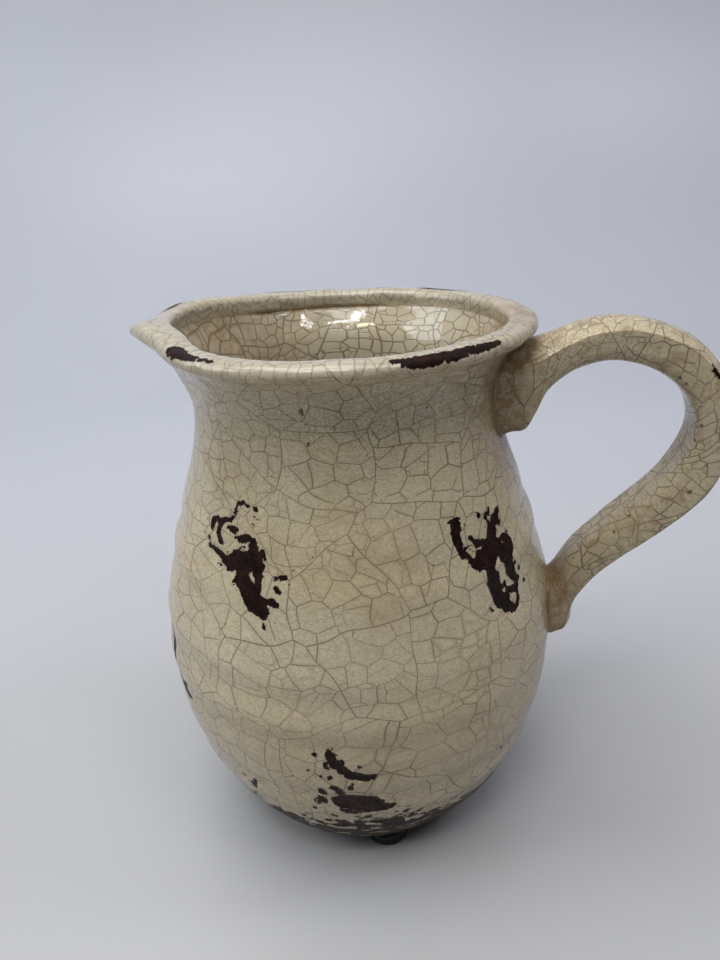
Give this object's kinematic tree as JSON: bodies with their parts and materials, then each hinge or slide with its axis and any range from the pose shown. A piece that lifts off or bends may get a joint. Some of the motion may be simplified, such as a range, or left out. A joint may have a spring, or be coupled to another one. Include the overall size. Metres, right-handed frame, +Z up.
{
  "type": "ceramic pitcher",
  "caption": "Round-bellied ceramic pitcher with a pinched pouring lip, rolled rim and applied strap handle, cream crackle glaze with worn dark patches, standing on small rubber feet",
  "frame": {"origin": "Middle of the bounding box in X and Y, on the plane the feet stand on, so on Z = 0. The axis of the round vessel is 26 mm from it on the -X side, because the handle reaches further out than the lip.", "axes": "+X points from the vessel's axis to the handle and -X to the pouring lip; +Z points up out of the mouth; +Y completes the right-handed set, to the left of a person who holds the handle and faces the lip."},
  "size_m": [0.1945, 0.14, 0.1908],
  "materials": {
    "glazed_clay": "glossy cream crackle glaze with brown crackle lines and worn patches of dark brown clay",
    "slip": "stained brown slip, satin",
    "foot_rubber": "matt black",
    "foot_adhesive": "dull, slightly tacky"
  },
  "bodies": {
    "root": {"vessel": "glazed_clay", "handle": "glazed_clay", "upper_slip_joint": "slip", "lower_slip_joint": "slip", "foot_front": "foot_rubber", "foot_right": "foot_rubber", "foot_back": "foot_rubber", "foot_left": "foot_rubber", "adhesive_front": "foot_adhesive", "adhesive_right": "foot_adhesive", "adhesive_back": "foot_adhesive", "adhesive_left": "foot_adhesive"}
  },
  "joints": []
}
